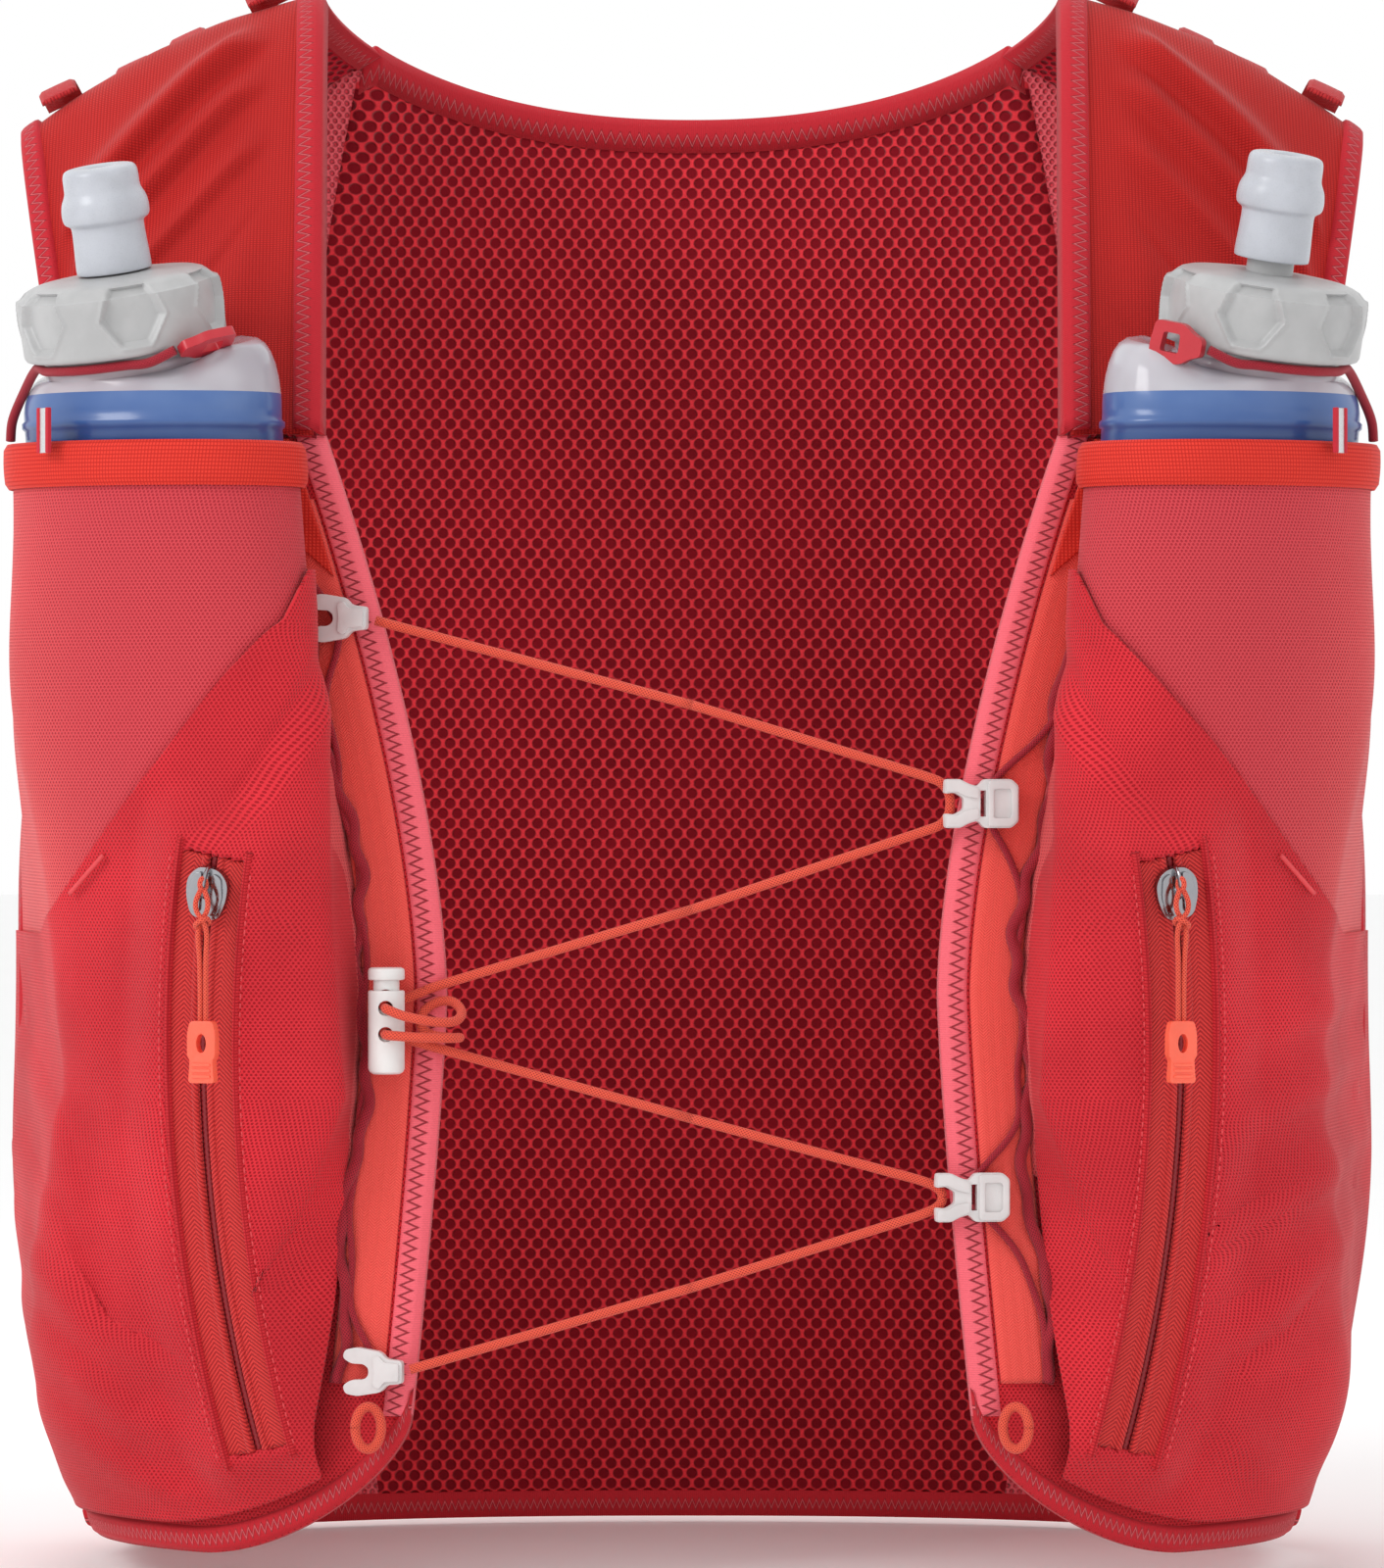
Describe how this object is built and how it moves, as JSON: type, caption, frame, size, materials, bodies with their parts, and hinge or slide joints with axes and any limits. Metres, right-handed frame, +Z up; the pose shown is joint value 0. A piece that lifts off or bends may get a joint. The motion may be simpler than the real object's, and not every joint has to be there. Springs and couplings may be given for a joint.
{
  "type": "hydration pack",
  "caption": "Running hydration pack: soft red vest with flask pockets, two soft flasks, curved zips and a chest bungee on hooks.",
  "frame": {"origin": "midpoint between the two shoulder rests, where the straps lie on the wearer", "axes": "+Z up, -Y out of the chest (the front), +X towards the wearer's left"},
  "size_m": [0.3508, 0.2444, 0.4052],
  "materials": {
    "spacer_mesh": "open hexagonal knit",
    "pocket_mesh": "fine stretch mesh",
    "coral_knit": "bright ribbed knit",
    "webbing": "woven webbing",
    "binding": "matt elastic binding with zigzag stitches",
    "zip_tape": "woven tape",
    "zip_coil": "nylon coil",
    "dark_cord": "braided elastic",
    "coral_cord": "braided elastic",
    "pull": "moulded pull on a cord",
    "tab": "moulded tab",
    "slider": "polished zinc",
    "hook": "satin moulded",
    "lock": "satin moulded",
    "spring": "drawn wire",
    "flask_film": "translucent film",
    "flask_cap": "milky translucent",
    "silicone": "frosted silicone",
    "reflective": "reflective tape"
  },
  "bodies": {
    "vest": {"front_panel_left": "pocket_mesh", "front_panel_right": "pocket_mesh", "side_panel_left": "spacer_mesh", "side_panel_right": "spacer_mesh", "back_mesh_panel": "spacer_mesh", "back_shell": "pocket_mesh", "back_stretch_pocket": "pocket_mesh", "back_pocket_band": "coral_knit", "back_zip": "zip_tape", "shoulder_yoke_left": "coral_knit", "shoulder_yoke_right": "coral_knit", "shoulder_linings": "spacer_mesh", "shoulder_loops": "webbing", "hang_loop": "webbing", "neck_binding": "binding", "front_binding_left": "binding", "front_binding_right": "binding", "hem_binding": "binding", "armhole_binding_left": "binding", "armhole_binding_right": "binding", "flask_pocket_left": "pocket_mesh", "flask_pocket_right": "pocket_mesh", "flask_band_left": "coral_knit", "flask_band_right": "coral_knit", "stash_pocket_left": "pocket_mesh", "stash_pocket_right": "pocket_mesh", "zip_tape_left": "zip_tape", "zip_tape_right": "zip_tape", "zip_coils": "zip_coil", "rail_webbing_left": "webbing", "rail_webbing_right": "webbing", "rail_cords": "dark_cord", "chest_bungee": "coral_cord", "cord_lock_barrel": "lock", "cord_lock_spring": "spring", "hem_loops": "coral_cord", "retainer_cord_left": "dark_cord", "retainer_cord_right": "dark_cord", "reflective_loops": "reflective"},
    "flask_left": {"flask_body_left": "flask_film", "retainer_tab_left": "tab"},
    "flask_right": {"flask_body_right": "flask_film", "retainer_tab_right": "tab"},
    "seal_left": {"flask_seal_left": "silicone"},
    "seal_right": {"flask_seal_right": "silicone"},
    "cap_left": {"flask_cap_left": "flask_cap"},
    "cap_right": {"flask_cap_right": "flask_cap"},
    "valve_left": {"bite_valve_left": "silicone"},
    "valve_right": {"bite_valve_right": "silicone"},
    "slider_left": {"zip_slider_left": "slider"},
    "slider_right": {"zip_slider_right": "slider"},
    "pull_left": {"zip_pull_left": "pull"},
    "pull_right": {"zip_pull_right": "pull"},
    "back_slider": {"back_zip_slider": "slider"},
    "plunger": {"cord_lock_plunger": "lock"},
    "hook_upper_right": {"chest_hook_upper_right": "hook"},
    "hook_upper_left": {"chest_hook_upper_left": "hook"},
    "hook_lower_left": {"chest_hook_lower_left": "hook"},
    "hook_lower_right": {"chest_hook_lower_right": "hook"}
  },
  "joints": [
    {"name": "flask_slide_left", "type": "slide", "parent": "vest", "child": "flask_left", "axis": [0.0697, -0.0348, 0.997], "range_m": [0, 0.165], "deforming": ["retainer_cord_left"]},
    {"name": "seal_lift_left", "type": "slide", "parent": "flask_left", "child": "seal_left", "axis": [0.1371, -0.1736, 0.9752], "range_m": [0, 0.006]},
    {"name": "cap_turn_left", "type": "hinge", "parent": "seal_left", "child": "cap_left", "pos_m": [0.1385, -0.097, -0.091], "axis": [0.1371, -0.1736, 0.9752], "range_deg": [0, 360]},
    {"name": "valve_pull_left", "type": "slide", "parent": "cap_left", "child": "valve_left", "axis": [0.1371, -0.1736, 0.9752], "range_m": [-0.003, 0.001]},
    {"name": "zip_run_left", "type": "hinge", "parent": "vest", "child": "slider_left", "pos_m": [-0.22577, -0.20925, -0.287], "axis": [-0.286, 0.9354, 0.2079], "range_deg": [0, 20]},
    {"name": "pull_swing_left", "type": "hinge", "parent": "slider_left", "child": "pull_left", "pos_m": [0.11813, -0.1257, -0.22067], "axis": [-0.9563, -0.2924, 0], "range_deg": [0, 130]},
    {"name": "flask_slide_right", "type": "slide", "parent": "vest", "child": "flask_right", "axis": [-0.0697, -0.0348, 0.997], "range_m": [0, 0.165], "deforming": ["retainer_cord_right"]},
    {"name": "seal_lift_right", "type": "slide", "parent": "flask_right", "child": "seal_right", "axis": [-0.1371, -0.1736, 0.9752], "range_m": [0, 0.006]},
    {"name": "cap_turn_right", "type": "hinge", "parent": "seal_right", "child": "cap_right", "pos_m": [-0.1385, -0.097, -0.091], "axis": [0.1371, 0.1736, -0.9752], "range_deg": [0, 360]},
    {"name": "valve_pull_right", "type": "slide", "parent": "cap_right", "child": "valve_right", "axis": [-0.1371, -0.1736, 0.9752], "range_m": [0, 0.004]},
    {"name": "zip_run_right", "type": "hinge", "parent": "vest", "child": "slider_right", "pos_m": [0.22577, -0.20925, -0.287], "axis": [-0.286, -0.9354, -0.2079], "range_deg": [0, 20]},
    {"name": "pull_swing_right", "type": "hinge", "parent": "slider_right", "child": "pull_right", "pos_m": [-0.11813, -0.1257, -0.22067], "axis": [-0.9563, 0.2924, 0], "range_deg": [0, 130]},
    {"name": "back_zip_run", "type": "hinge", "parent": "vest", "child": "back_slider", "pos_m": [0, -0.3603, -0.126], "axis": [0, 0, 1], "range_deg": [0, 12]},
    {"name": "lock_press", "type": "slide", "parent": "vest", "child": "plunger", "axis": [0, 0, 1], "range_m": [-0.0024, 0], "stiffness_N_per_m": 600, "springref_m": 0.002, "deforming": ["cord_lock_spring"]},
    {"name": "hook_slide_upper_right", "type": "slide", "parent": "vest", "child": "hook_upper_right", "axis": [-0.2651, 0.1414, 0.9538], "range_m": [-0.02, 0], "deforming": ["chest_bungee", "rail_cords"]},
    {"name": "hook_slide_upper_left", "type": "slide", "parent": "vest", "child": "hook_upper_left", "axis": [0.1814, 0.0344, 0.9828], "range_m": [-0.01, 0.01], "deforming": ["chest_bungee", "rail_cords"]},
    {"name": "hook_slide_lower_left", "type": "slide", "parent": "vest", "child": "hook_lower_left", "axis": [-0.0848, -0.0187, 0.9962], "range_m": [-0.01, 0.01], "deforming": ["chest_bungee", "rail_cords"]},
    {"name": "hook_slide_lower_right", "type": "slide", "parent": "vest", "child": "hook_lower_right", "axis": [0.102, -0.0491, 0.9936], "range_m": [0, 0.02], "deforming": ["chest_bungee", "rail_cords"]}
  ],
  "couplings": [
    {"joint": "cap_turn_left", "follows": "seal_lift_left", "rad_per_m": 1047.2},
    {"joint": "cap_turn_right", "follows": "seal_lift_right", "rad_per_m": 1047.2}
  ]
}
